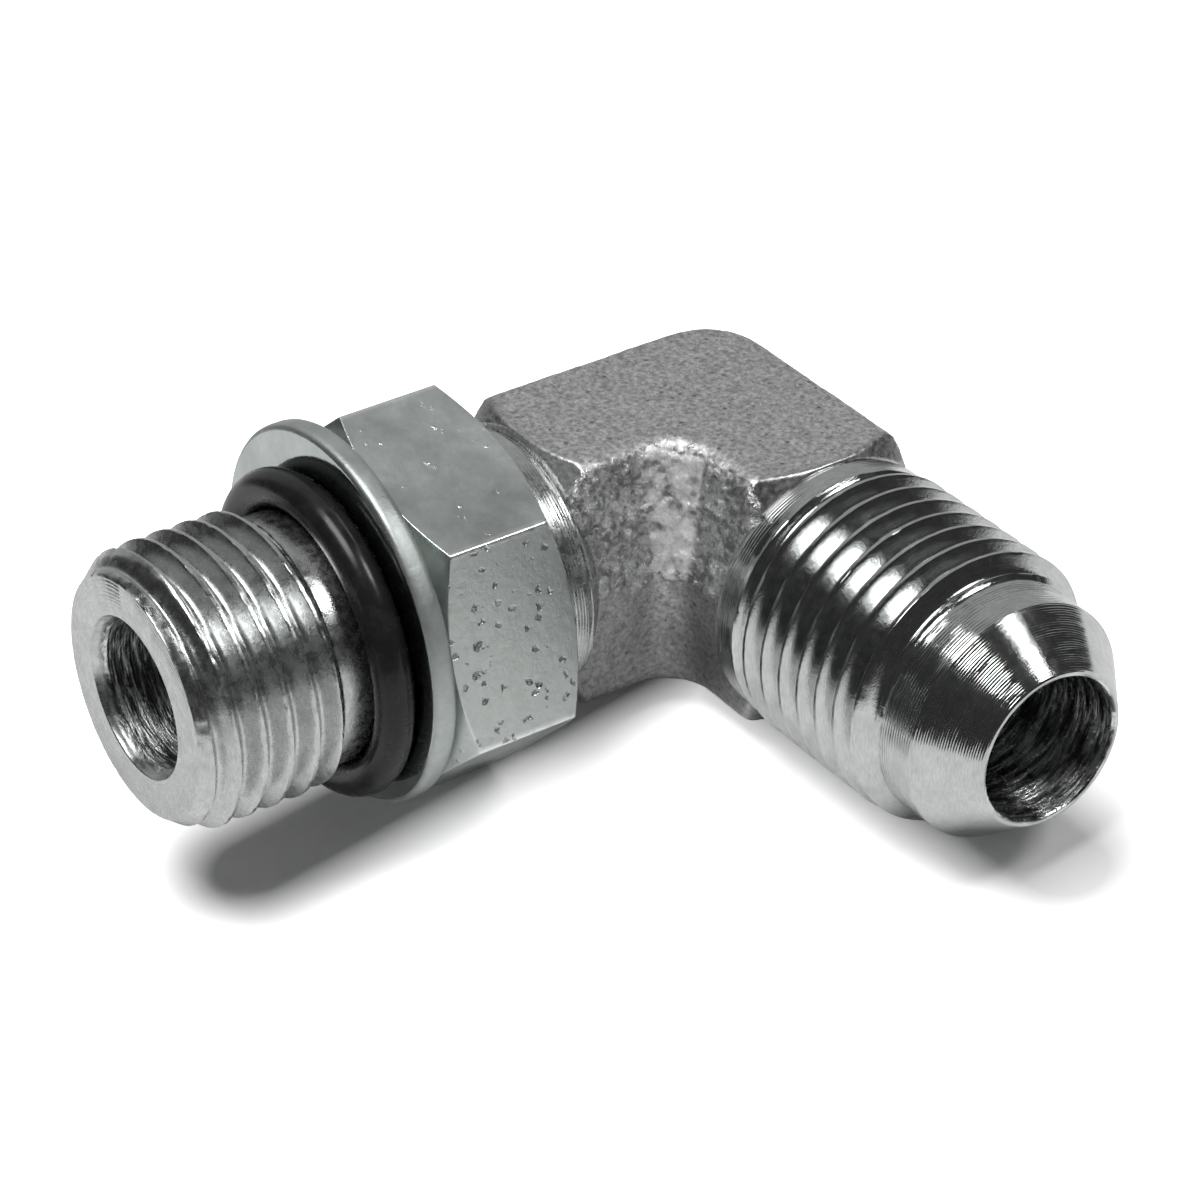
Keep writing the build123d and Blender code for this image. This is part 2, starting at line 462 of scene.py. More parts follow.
def turned_place(finish, direction, centre=(0, 0, 0)):
    """Noise coordinates that run fast along and out from a turning axis and slowly around it."""
    up, side, on = (tuple(axis) for axis in axes_of(direction))
    from_centre = finish.node("VectorMath", {"operation": "SUBTRACT"})
    finish.feed(from_centre.inputs[0], finish.place)
    finish.feed(from_centre.inputs[1], centre)
    place = from_centre.outputs[0]
    lift, drift, along = (finish.dot(place, axis) for axis in (up, side, on))
    out = finish.maths("SQRT", finish.maths("ADD", finish.maths("POWER", lift, 2.0), finish.maths("POWER", drift, 2.0)))
    path = finish.maths("MULTIPLY_ADD", out, -0.9, along)
    slow = finish.maths("DIVIDE", lift, out)
    slower = finish.maths("DIVIDE", drift, out)
    return path, slow, slower, out, along


def ring_height(finish, path, slow, slower, feed, wander):
    """The height of a turning tool's rings, which keep a feed and wander a little around the axis."""
    vector = finish.node("CombineXYZ", None, X=finish.maths("MULTIPLY", slow, wander), Y=finish.maths("MULTIPLY", slower, wander), Z=path)
    drift = finish.noise(feed * 3.0, 2.0, 0.6, vector.outputs[0])
    wave = finish.maths("MULTIPLY_ADD", path, 2 * pi / feed, finish.maths("MULTIPLY", drift, 6.0))
    return finish.maths("MULTIPLY_ADD", finish.maths("SINE", wave), 0.5, 0.5), vector.outputs[0]


def turned_metal(name, direction, colours, roughness):
    """Bright turned steel with the tool's rings, and a darker, rougher bore."""
    finish = Finish(name, 1.0, 0.2)
    path, slow, slower, out, along = turned_place(finish, direction)
    rings, vector = ring_height(finish, path, slow, slower, colours.feed, 0.0012)
    share = finish.attribute("mark")
    wander = finish.ramp(finish.noise(0.0007, 2.0, 0.6, vector), 0.3, 0.7, 0.35, 1.0)
    cuts = finish.maths("MULTIPLY", share, wander)
    chatter = finish.noise(0.00018, 4.0, 0.75)
    fine = finish.noise(0.00009, 3.0, 0.7, vector)
    around = finish.node(
        "CombineXYZ",
        None,
        X=finish.maths("MULTIPLY", slow, 0.0009),
        Y=finish.maths("MULTIPLY", slower, 0.0009),
        Z=finish.maths("MULTIPLY", path, 1.4),
    )
    streaks = finish.noise(0.00045, 5.0, 0.7, around.outputs[0], 0.4)
    inside = finish.ramp(out, bore_radius + 0.00022, bore_radius + 0.00008)
    wear = finish.noise(0.0012, 3.0, 0.6)
    metal = finish.mix(finish.ramp(wear, 0.35, 0.7), tuple(c * 0.86 for c in colours.metal), tuple(colours.metal))
    lines = finish.ramp(fine, 0.35, 0.62, 0.28, 0.0)
    metal = finish.mix(lines, metal, tuple(c * 0.3 for c in colours.metal))
    bore = finish.mix(finish.ramp(streaks, 0.46, 0.6), tuple(c * 0.12 for c in colours.bore), tuple(colours.bore))
    finish.feed(finish.shader.inputs["Base Color"], finish.mix(inside, metal, bore))
    rough = finish.ramp(finish.noise(0.0005, 3.0, 0.6), 0.3, 0.7, roughness * 0.7, roughness * 1.4)
    finish.feed(finish.shader.inputs["Roughness"], finish.maths("MULTIPLY_ADD", inside, 0.12, rough))
    finish.bumps(
        (rings, 0.000014, cuts),
        (fine, 0.000006, 0.5),
        (chatter, 0.00002, finish.maths("MULTIPLY_ADD", share, -0.35, 0.42)),
        (streaks, 0.00014, inside),
    )
    return finish.material


def forged_metal(sizes):
    """Blasted forged steel with small dark specks, torn bright on the inner walls and turned at the cuts, with a
    painted highlight in the inner corner and painted shade below the parting line.
    """
    finish = Finish("forged_metal", 1.0, 0.5)
    kept = finish.attribute("torn")
    torn = finish.ramp(kept, 0.0, 0.7)
    # Painted highlight: where the torn share runs highest, in the inner corner, the torn steel is painted white in
    # patches
    corner = finish.maths("MULTIPLY", finish.ramp(kept, 0.76, 0.92), finish.ramp(finish.noise(0.0009, 3.0), 0.36, 0.5))
    cut = finish.attribute("cut")
    grain = finish.noise(0.00028, 5.0, 0.75)
    fleck = finish.noise(0.00016, 2.0, 0.6)
    lumps = finish.noise(0.0009, 3.0, 0.6)
    shreds = finish.noise(0.00045, 5.0, 0.7, distortion=0.8)
    height = finish.dot(finish.place, tuple(up_dir))
    cells = finish.node("TexVoronoi", {"feature": "F1"}, Scale=1 / 0.00065, Vector=finish.place)
    spots = finish.ramp(finish.maths("ADD", cells.outputs["Distance"], finish.maths("MULTIPLY", grain, 0.3)), 0.36, 0.26)
    spots = finish.maths("MULTIPLY", spots, finish.ramp(finish.noise(0.0014, 3.0, 0.7), 0.42, 0.52))
    dull, light = tuple(c * 0.6 for c in sizes.metal), tuple(min(c * 1.34, 1) for c in sizes.metal)
    plain = finish.mix(finish.ramp(grain, 0.38, 0.62), dull, light)
    plain = finish.mix(finish.maths("MULTIPLY", spots, 0.8), plain, tuple(sizes.speck_and_shade))
    sparkle = finish.ramp(fleck, 0.66, 0.74)
    plain = finish.mix(finish.maths("MULTIPLY", sparkle, 0.7), plain, (0.95, 0.95, 0.95))
    # Painted shade: the blasted steel is mixed towards the dark speck colour, a little everywhere and more below the
    # parting line, most towards the bottom
    low = finish.ramp(height, -0.0002, -0.004, 0.15, 0.55)
    plain = finish.mix(low, plain, tuple(sizes.speck_and_shade))
    patches = finish.ramp(finish.noise(0.0022, 2.0), 0.38, 0.62, 0.55, 1.0)
    ragged = finish.mix(finish.ramp(shreds, 0.42, 0.56), tuple(c * 0.34 for c in sizes.bright), tuple(sizes.bright))
    ragged = finish.mix(patches, tuple(sizes.speck_and_shade), ragged)
    # Painted highlight: the torn steel turns white in the inner corner
    ragged = finish.mix(finish.maths("MULTIPLY", corner, 0.8), ragged, (1.0, 1.0, 1.0))
    turned = finish.mix(finish.ramp(grain, 0.3, 0.7), dull, tuple(sizes.metal))
    metal = finish.mix(finish.maths("MULTIPLY", cut, 0.5), finish.mix(torn, plain, ragged), turned)
    finish.feed(finish.shader.inputs["Base Color"], metal)
    whole = finish.maths("MULTIPLY_ADD", torn, -0.2, 1.0)
    # Less metallic in the inner corner, so that the painted highlight shows white
    finish.feed(finish.shader.inputs["Metallic"], finish.maths("MULTIPLY_ADD", corner, -0.45, whole))
    rough = finish.ramp(finish.noise(0.0003, 3.0), 0.35, 0.65, 0.42, 0.56)
    rough = finish.maths("MULTIPLY_ADD", torn, -0.22, rough)
    rough = finish.maths("MULTIPLY_ADD", cut, -0.14, rough)
    rough = finish.maths("MULTIPLY_ADD", sparkle, -0.15, rough)
    finish.feed(finish.shader.inputs["Roughness"], rough)
    blasted = finish.maths("MULTIPLY_ADD", cut, -0.5, 0.6)
    finish.bumps((lumps, 0.00008, 0.35), (grain, 0.00006, blasted), (shreds, 0.00016, finish.maths("MULTIPLY", torn, 0.8)))
    return finish.material


def plated_metal(name, metal, pit, pits, roughness, gloss):
    """Satin zinc plate with a share of gloss, worn bright at its edges, and with pits on the side that faces flare."""
    finish = Finish(name, 1.0, 0.38)
    worn = finish.maths("MULTIPLY", finish.attribute("mark"), finish.ramp(finish.noise(0.0006, 3.0), 0.3, 0.5, 0.3, 1.0))
    cloud = finish.noise(0.0035, 4.0, 0.6)
    grain = finish.noise(0.00016, 3.0, 0.7)
    mottle = finish.noise(0.0005, 4.0, 0.7)
    wobble = finish.node("TexNoise", None, Scale=1 / 0.0004, Detail=2.0)
    finish.feed(wobble.inputs["Vector"], finish.place)
    shaken = finish.node("VectorMath", {"operation": "MULTIPLY_ADD"})
    finish.feed(shaken.inputs[0], wobble.outputs["Color"])
    finish.feed(shaken.inputs[1], (0.0005, 0.0005, 0.0005))
    finish.feed(shaken.inputs[2], finish.place)
    cells = finish.node("TexVoronoi", {"feature": "F1"}, Scale=1 / 0.00075, Vector=shaken.outputs[0])
    normal = finish.node("TexCoord").outputs["Normal"]
    side = finish.ramp(finish.dot(normal, tuple(flare_dir)), 0.75, 0.9)
    front = finish.ramp(finish.dot(normal, tuple(stud_dir)), 0.93, 0.99)
    calm = finish.maths("SUBTRACT", 1.0, finish.maths("MULTIPLY", front, gloss))
    spread = finish.ramp(finish.noise(0.0016, 3.0), 0.46, 0.56)
    holes = finish.maths("MULTIPLY", finish.ramp(cells.outputs["Distance"], 0.30, 0.16), spread)
    holes = finish.maths("MULTIPLY", holes, side)
    blobs = finish.maths("MULTIPLY", finish.ramp(cells.outputs["Distance"], 0.22, 0.08), spread)
    blobs = finish.maths("MULTIPLY", blobs, finish.maths("SUBTRACT", 1.0, side))
    tone = finish.mix(
        finish.ramp(cloud, 0.35, 0.68), tuple(c * 0.84 for c in metal), tuple(min(c * 1.1, 1) for c in metal)
    )
    tone = finish.mix(finish.ramp(mottle, 0.4, 0.75, 0.0, 0.3), tone, tuple(c * 0.6 for c in metal))
    tone = finish.mix(finish.maths("MULTIPLY", holes, pits * 0.8), tone, tuple(pit))
    finish.feed(finish.shader.inputs["Base Color"], finish.mix(worn, tone, (0.93, 0.94, 0.93)))
    rough = finish.ramp(cloud, 0.3, 0.7, roughness * 0.8, roughness * 1.2)
    finish.feed(finish.shader.inputs["Roughness"], finish.maths("MULTIPLY", rough, calm))
    finish.bumps(
        (cloud, 0.00006, finish.maths("MULTIPLY", calm, 0.2)),
        (mottle, 0.00005, finish.maths("MULTIPLY", calm, 0.5)),
        (grain, 0.000012, finish.maths("MULTIPLY", calm, 0.5)),
        (finish.maths("SUBTRACT", 1.0, holes), 0.00007, pits),
        (blobs, 0.00003, pits),
    )
    return finish.material


def black_rubber(sizes):
    """Black rubber with a low sheen."""
    finish = Finish("black_rubber", 0.0, 0.3)
    dust = finish.noise(0.0008, 3.0, 0.6)
    finish.feed(
        finish.shader.inputs["Base Color"],
        finish.mix(finish.ramp(dust, 0.4, 0.75), tuple(sizes.rubber), tuple(c * 1.6 for c in sizes.rubber)),
    )
    finish.feed(finish.shader.inputs["Roughness"], finish.ramp(dust, 0.3, 0.7, 0.2, 0.3))
    finish.shader.inputs["Specular IOR Level"].default_value = 0.3
    finish.bumps((finish.noise(0.00025, 3.0), 0.000012, 0.3))
    return finish.material


def dress(piece, material, body, slot, *nodes):
    """Gives a piece its material, hides the model's parts that it stands for and hangs it under its body's empty."""
    piece.data.materials.append(material)
    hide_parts(*nodes)
    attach(piece, body)


# The forging


def leg_outline(sizes, inset):
    """The forging's outline at one height, drawn in by an inset, in the plane of the two axes."""
    width = sizes.half_width - inset
    reach = sizes.leg_length
    heel = sizes.heel_radius - inset
    crotch = sizes.crotch_radius + inset
    arc = [radians(turn) for turn in range(0, 91, 9)]
    points = [(reach, -width), (reach, width)]
    points += [(-width + heel - heel * sin(turn), width - heel + heel * cos(turn)) for turn in arc]
    points += [(-width, -reach), (width, -reach)]
    points += [(width + crotch - crotch * cos(turn), -width - crotch + crotch * sin(turn)) for turn in arc]
    return points


def forging_block(sizes):
    """The forging before it is cut, in millimetres, with its pads rounded at their edges."""
    levels = []
    for turn in range(0, 91, 15):
        height = sizes.half_height - sizes.edge_radius * (1 - sin(radians(turn)))
        inset = height * tan(sizes.draft) + sizes.edge_radius * (1 - cos(radians(turn)))
        levels.append((height, inset))
    levels = [(-height, inset) for height, inset in reversed(levels)] + [(0.0, 0.0)] + levels
    vertices = []
    for height, inset in levels:
        vertices += [(x / MM, y / MM, height / MM) for x, y in leg_outline(sizes, inset)]
    around = len(vertices) // len(levels)
    faces = [list(range(around))[::-1], list(range(len(vertices) - around, len(vertices)))]
    for level in range(len(levels) - 1):
        for point in range(around):
            following = (point + 1) % around
            low, high = level * around, (level + 1) * around
            faces.append((low + point, low + following, high + following, high + point))
    mesh = bpy.data.meshes.new("forging_block")
    mesh.from_pydata(vertices, [], faces)
    block = bpy.data.objects.new("forging_block", mesh)
    bpy.context.scene.collection.objects.link(block)
    return block


def turned_cutter(name, outline, direction):
    """A closed outline turned about X or -Y, in millimetres, for cutting the forging."""
    work = bmesh.new()
    points = [work.verts.new((along / MM, 0, out / MM)) for along, out in outline]
    edges = [work.edges.new((points[i], points[(i + 1) % len(points)])) for i in range(len(points))]
    bmesh.ops.spin(work, geom=points + edges, cent=(0, 0, 0), axis=(1, 0, 0), angle=2 * pi, steps=96, use_merge=True)
    bmesh.ops.remove_doubles(work, verts=work.verts, dist=1e-5)
    bmesh.ops.recalc_face_normals(work, faces=work.faces)
    mesh = bpy.data.meshes.new(name)
    work.to_mesh(mesh)
    work.free()
    mesh.transform(direction)
    cutter = bpy.data.objects.new(name, mesh)
    bpy.context.scene.collection.objects.link(cutter)
    return cutter


def corner_outline(sizes):
    """What the turning tool takes from the forging's corners."""
    outer = sizes.half_height * 2
    slope = (outer - sizes.cut_radius) / tan(sizes.cut_angle)
    end = sizes.leg_length * 2
    return [
        (sizes.leg_length, sizes.cut_radius),
        (sizes.leg_length - slope, outer),
        (end, outer),
        (end, sizes.cut_radius),
    ]


def hole_outline(sizes):
    """The drilled hole through one leg, with the drill's point past the corner."""
    radius = bore_radius + 0.01 * MM
    return [(-3.2 * MM, 0), (-1 * MM, radius), (sizes.leg_length * 1.2, radius), (sizes.leg_length * 1.2, 0)]


def torn_share(sizes, place):
    """How torn the metal is at a place: 1 on the inner walls over the parting line, 0 elsewhere."""
    x, y, z = place
    rim = sizes.half_width / MM - 1.3
    inner = smooth_step(0.0, 0.35, x - rim) * smooth_step(0.0, 0.35, -y - rim)
    edge = 0.5 * noise.noise(Vector((x, y, 0)) * 1.3) + 0.25 * noise.noise(Vector((x, y, 3)) * 4)
    top = 0.45 * noise.noise(Vector((x, y, 9)) * 1.6)
    over = smooth_step(-0.12, 0.12, z - edge)
    under_pad = smooth_step(0.5, -0.3, z - sizes.half_height / MM + 0.1 + top)
    return float(inner * over * under_pad)


def cut_share(sizes, place):
    """1 on the two cones that the turning tool left at the forging's corners, 0 elsewhere."""
    x, y, z = place
    near = []
    for along, out in ((x, np.hypot(y, z)), (-y, np.hypot(x, z))):
        cone = sizes.cut_radius / MM + (sizes.leg_length / MM - along) * tan(sizes.cut_angle)
        near.append(smooth_step(0.34, 0.16, cone - out))
    return float(max(near))


def roughen(mesh, sizes):
    """Moves each point of the forging as blasted, torn and trimmed steel lies, and keeps what kind it is."""
    places = np.empty(len(mesh.vertices) * 3)
    normals = np.empty(len(mesh.vertices) * 3)
    mesh.vertices.foreach_get("co", places)
    mesh.vertex_normals.foreach_get("vector", normals)
    places, normals = places.reshape(-1, 3), normals.reshape(-1, 3)
    torn = np.zeros(len(places))
    cut = np.zeros(len(places))
    for index, place in enumerate(places):
        point = Vector(place)
        share = torn_share(sizes, place)
        turned = cut_share(sizes, place)
        swell = 0.035 * noise.noise(point * 0.55) + 0.018 * noise.noise(point * 2.2)
        scale = 0.012 * noise.noise(point * 5)
        shred = 0.9 * noise.noise(point * 1.5) + 0.7 * abs(noise.noise(point * 2.9)) + 0.3 * noise.noise(point * 6)
        side = 1 - abs(normals[index][2])
        ridge = 0.05 * np.exp(-((place[2] / 0.28) ** 2)) * side
        lip = sizes.lip_height / MM * share * np.exp(-max(place[2], 0) / 2.4)
        # Painted highlight: the torn share is raised towards the inner corner, where the material paints the torn steel
        # white
        corner_highlight = smooth_step(1.7, 0.9, place[0] - sizes.half_width / MM) * smooth_step(
            1.7, 0.9, -place[1] - sizes.half_width / MM
        )
        torn[index] = share * (0.72 + 0.28 * corner_highlight)
        cut[index] = turned
        blasted = (swell + scale + ridge) * (1 - turned)
        places[index] += normals[index] * (blasted + lip + share * shred * sizes.tear_height / MM)
    mesh.vertices.foreach_set("co", places.reshape(-1))
    for name, values in (("torn", torn), ("cut", cut)):
        kept = mesh.attributes.new(name, "FLOAT", "POINT")
        kept.data.foreach_set("value", values)
    mesh.update()


def apply_modifiers(made, name):
    """The object's mesh with its modifiers applied."""
    graph = bpy.context.evaluated_depsgraph_get()
    mesh = bpy.data.meshes.new_from_object(made.evaluated_get(graph))
    mesh.name = name
    return mesh


class FITTING_OT_forging(bpy.types.Operator):
    """Builds the forged corner, with its torn inner walls and the turned cuts at its legs"""

    bl_idname = "fitting.forging"
    bl_label = "Forging"

    def execute(self, context):
        sizes = context.scene.fitting_forging
        block = forging_block(sizes)
        along_flare = Matrix.Identity(4)
        along_stud = Matrix.Rotation(-pi / 2, 4, "Z")
        cutters = [
            turned_cutter("flare_corner_cut", corner_outline(sizes), along_flare),
            turned_cutter("stud_corner_cut", corner_outline(sizes), along_stud),
            turned_cutter("flare_hole_cut", hole_outline(sizes), along_flare),
            turned_cutter("stud_hole_cut", hole_outline(sizes), along_stud),
        ]
        for cutter in cutters:
            cut = block.modifiers.new(cutter.name, "BOOLEAN")
            cut.operation = "DIFFERENCE"
            cut.solver = "EXACT"
            cut.object = cutter
        skin = block.modifiers.new("even_skin", "REMESH")
        skin.mode = "VOXEL"
        skin.voxel_size = sizes.grain / MM
        context.view_layer.update()
        mesh = apply_modifiers(block, "forged_corner")
        for used in [block] + cutters:
            bpy.data.objects.remove(used)
        roughen(mesh, sizes)
        turn = Matrix((flare_dir, -stud_dir, up_dir)).transposed().to_4x4()
        mesh.transform(turn @ Matrix.Scale(MM, 4))
        mesh.shade_smooth()
        made = bpy.data.objects.new("forged_corner", mesh)
        context.scene.collection.objects.link(made)
        dress(made, forged_metal(sizes), "body", "forged_steel", "elbow_body")
        return {"FINISHED"}


class FITTING_OT_flare_end(bpy.types.Operator):
    """Builds the flared end, with its thread, shank, cone and drilled hole"""

    bl_idname = "fitting.flare_end"
    bl_label = "Flared end"

    def execute(self, context):
        sizes = context.scene.fitting_flare
        thread = context.scene.fitting_thread
        angles = np.linspace(0, 2 * pi, thread.columns + 1)
        run_in = sizes.thread_start - 0.5 * MM
        blank = rounded(
            [
                (run_in - 2.0 * MM, sizes.shoulder_radius),
                (run_in, sizes.shoulder_radius),
                (sizes.thread_start, crest_radius),
                (sizes.thread_end, crest_radius),
                (sizes.shank_start, sizes.shank_radius),
                (sizes.shank_start + 2 * MM, sizes.shank_radius),
            ],
            0.12 * MM,
        )
        blank_along, blank_out = np.array(blank).T
        lag = radians(44) / (2 * pi) * thread.pitch

        def radius_at(along):
            phase = (along - sizes.first_crest + lag) / thread.pitch - angles / (2 * pi)
            fade = smooth_step(sizes.thread_start - 0.9 * MM, sizes.thread_start + 0.5 * MM, along)
            cut = crest_radius - groove_cut(thread, phase) * fade
            worn = np.interp(along, blank_along, blank_out) - crest_nicks(angles, along, thread.nick * 0.5)
            return smooth_min(worn, cut, 0.02 * MM)

        rows = [(sizes.root, bore_radius + 0.3 * MM)]
        rows += rounded(
            [
                (sizes.root, 4.3 * MM),
                (sizes.shoulder, sizes.shoulder_radius),
                (run_in - 0.5 * MM, sizes.shoulder_radius),
            ],
            0.4 * MM,
        )
        rows += threaded_rows(
            thread, angles, run_in - 0.4 * MM, sizes.shank_start + 0.2 * MM, sizes.first_crest - lag, radius_at
        )
        rows += rounded(
            [
                (sizes.shank_start + 0.3 * MM, sizes.shank_radius),
                (sizes.shank_end, sizes.shank_radius),
                (sizes.nose, sizes.nose_radius),
                (sizes.nose, sizes.lip_radius),
                (sizes.nose - 0.12 * MM, bore_radius),
                (sizes.root, bore_radius),
            ],
            0.09 * MM,
        )
        made = turned_object("flared_end", axes_of(flare_dir), (0, 0, 0), rows, angles)
        colours = context.scene.fitting_turned
        dress(made, turned_metal("turned_flare", flare_dir, colours, 0.13), "body", "forged_steel", "elbow_body")
        return {"FINISHED"}


class FITTING_OT_stud_end(bpy.types.Operator):
    """Builds the stud end, with its collar, threads, neck and drilled hole"""

    bl_idname = "fitting.stud_end"
    bl_label = "Stud end"

    def execute(self, context):
        sizes = context.scene.fitting_stud
        thread = context.scene.fitting_thread
        angles = np.linspace(0, 2 * pi, thread.columns + 1)
        thread_foot = sizes.collar_end + 0.3 * MM
        blank = rounded(
            [
                (thread_foot - 1 * MM, crest_radius - thread.depth / 2),
                (thread_foot, crest_radius - thread.depth / 2),
                (thread_foot + 0.3 * MM, crest_radius),
                (sizes.neck_start - 0.4 * MM, crest_radius),
                (sizes.neck_start + 0.25 * MM, sizes.neck_radius),
                (sizes.neck_end, sizes.neck_radius),
                (sizes.neck_end + 0.42 * MM, crest_radius),
                (sizes.thread_end, crest_radius),
                (sizes.tip, sizes.tip_radius),
                (sizes.tip + 1 * MM, sizes.tip_radius),
            ],
            0.1 * MM,
        )
        blank_along, blank_out = np.array(blank).T
        lag = radians(-53) / (2 * pi) * thread.pitch

        def radius_at(along):
            phase = (along - sizes.first_crest + lag) / thread.pitch - angles / (2 * pi)
            behind = smooth_step(sizes.neck_start + 1.6 * MM, sizes.neck_start + 1.2 * MM, along)
            front = smooth_step(sizes.neck_end - 0.5 * MM, sizes.neck_end + 0.5 * MM, along)
            cut = crest_radius - groove_cut(thread, phase) * np.maximum(behind, front)
            worn = np.interp(along, blank_along, blank_out) - crest_nicks(angles, along, thread.nick * front)
            return smooth_min(worn, cut, 0.02 * MM)

        rows = [(sizes.root, bore_radius + 0.3 * MM)]
        rows += rounded(
            [
                (sizes.root, 4.3 * MM),
                (sizes.shoulder, sizes.groove_radius),
                (sizes.groove_end, sizes.groove_radius),
                (sizes.groove_end + 0.1 * MM, sizes.collar_radius),
                (sizes.collar_end - 0.15 * MM, sizes.collar_radius),
                (sizes.collar_end, crest_radius - thread.depth / 2),
                (thread_foot - 0.1 * MM, crest_radius - thread.depth / 2),
            ],
            0.12 * MM,
        )
        rows += threaded_rows(
            thread, angles, thread_foot - 0.05 * MM, sizes.tip - 0.02 * MM, sizes.first_crest - lag, radius_at
        )
        rows += rounded(
            [
                (sizes.tip, sizes.tip_radius - 0.06 * MM),
                (sizes.tip, sizes.mouth_radius),
                (sizes.tip - sizes.mouth_depth, bore_radius),
                (sizes.root, bore_radius),
            ],
            0.06 * MM,
        )
        made = turned_object("stud_end", axes_of(stud_dir), (0, 0, 0), rows, angles)
        colours = context.scene.fitting_turned
        dress(made, turned_metal("turned_stud", stud_dir, colours, 0.26), "body", "forged_steel", "elbow_body")
        return {"FINISHED"}


class FITTING_OT_nut(bpy.types.Operator):
    """Builds the lock nut, with its chamfered corners and a hole that mates the stud's thread"""

    bl_idname = "fitting.nut"
    bl_label = "Lock nut"

    def execute(self, context):
        sizes = context.scene.fitting_nut
        thread = context.scene.fitting_thread
        stud = context.scene.fitting_stud
        half = sizes.across_flats / 2
        corners = [(radians(60 * number) - sizes.turn) % (2 * pi) for number in range(6)]
        near = [corner + radians(step) for corner in corners for step in (-1.6, -0.9, -0.35, 0, 0.35, 0.9, 1.6)]
        angles = np.unique(np.concatenate([np.linspace(0, 2 * pi, thread.columns + 1), near]))
        flats = [corner + radians(30) for corner in corners]
        reaches = np.array([half / np.maximum(np.cos(angles - flat), 1e-3) for flat in flats])
        reaches.sort(axis=0)
        hexagon = smooth_min(reaches[0], reaches[1], sizes.edge_round)
        slope = tan(sizes.chamfer)
        end = sizes.start + sizes.thickness
        edge = np.maximum(hexagon - sizes.face_radius, 0) * slope

        apart = np.min([np.abs(angles - corner) for corner in corners], axis=0)
        worn = np.clip(1 - apart / radians(1.5), 0, 1)
        raised = 0.3 * smooth_step(0, 0.3 * MM, edge)

        def side_rows(face, inward):
            """The rows of one face's chamfer, from the face to the middle of the nut."""
            made = [(face, sizes.mouth_radius, 0.0), (face, sizes.face_radius - 0.15 * MM, 0.0)]
            for share in (0.0, 0.15, 0.4, 0.7, 0.88, 0.96, 1.0, 1.04, 1.12, 1.3):
                depth = edge * share
                cone = sizes.face_radius + depth / slope
                mark = np.maximum(worn, raised) if share in (0.96, 1.0, 1.04) else worn * (share > 1)
                made.append((face + inward * depth, smooth_min(cone, hexagon, 0.05 * MM), mark))
            return made

        rows = side_rows(sizes.start, 1)
        for share in (0.3, 0.4, 0.5, 0.6, 0.7):
            rows.append((sizes.start + sizes.thickness * share, hexagon, worn))
        rows += side_rows(end, -1)[::-1]

        lag = radians(-53) / (2 * pi) * thread.pitch

        def bore_at(along):
            phase = (along - stud.first_crest + lag) / thread.pitch - angles / (2 * pi)
            cut = crest_radius - groove_cut(thread, phase) + sizes.clearance
            inset = np.minimum(along - sizes.start, end - along)
            mouth = sizes.mouth_radius - inset / slope
            return np.maximum(np.maximum(cut, mouth), bore_radius)

        inner = threaded_rows(thread, angles, sizes.start, end, stud.first_crest - lag, bore_at)
        rows += inner[::-1]
        made = turned_object("hex_nut", axes_of(stud_dir), (0, 0, 0), rows, angles)
        metal = plated_metal("plated_nut", sizes.metal, sizes.pit, 0.9, 0.36, 0.0)
        dress(made, metal, "nut", "plated_nut", "lock_nut")
        return {"FINISHED"}


class FITTING_OT_washer(bpy.types.Operator):
    """Builds the back-up washer, a flat ring with a rounded rim"""

    bl_idname = "fitting.washer"
    bl_label = "Back-up washer"

    def execute(self, context):
        sizes = context.scene.fitting_washer
        angles = np.linspace(0, 2 * pi, 193)
        end = sizes.start + sizes.thickness
        bore_break = 0.12 * MM
        outline = [
            (sizes.start, sizes.bore + bore_break),
            (sizes.start, sizes.radius),
            (end, sizes.radius),
            (end, sizes.bore + bore_break),
        ]
        rows = rounded(outline, sizes.rim_radius)
        rows += [(end - bore_break, sizes.bore), (sizes.start + bore_break, sizes.bore)]
        rows = [(*row[:2], 0.0) for row in rows]
        centre = up_dir * sizes.lift + flare_dir * sizes.drift
        made = turned_object("flat_washer", axes_of(stud_dir), centre, rows, angles)
        metal = plated_metal("plated_washer", sizes.metal, sizes.metal, 0.0, 0.5, 0.84)
        dress(made, metal, "seal", "plated_washer", "backup_washer")
        return {"FINISHED"}


class FITTING_OT_ring(bpy.types.Operator):
    """Builds the sealing ring, a round rubber section around the neck"""

    bl_idname = "fitting.ring"
    bl_label = "Sealing ring"

    def execute(self, context):
        sizes = context.scene.fitting_ring
        angles = np.linspace(0, 2 * pi, 193)
        rows = []
        for number in range(48):
            turn = 2 * pi * number / 48
            rows.append(
                (sizes.along - sizes.section_radius * cos(turn), sizes.centre_radius + sizes.section_radius * sin(turn))
            )
        made = turned_object("sealing_ring", axes_of(stud_dir), (0, 0, 0), rows, angles)
        dress(made, black_rubber(sizes), "seal", "black_rubber", "o_ring")
        return {"FINISHED"}


# Stage


def add_lamp(name, place, target, size, power, shade=(1, 1, 1)):
    """A soft rectangular lamp that faces a target."""
    lamp = bpy.data.lights.new(name, "AREA")
    lamp.shape = "RECTANGLE"
    lamp.size, lamp.size_y = size
    lamp.energy = power
    lamp.color = shade
    made = bpy.data.objects.new(name, lamp)
    made.location = place
    made.rotation_euler = (Vector(target) - Vector(place)).to_track_quat("-Z", "Y").to_euler()
    bpy.context.scene.collection.objects.link(made)
    return made


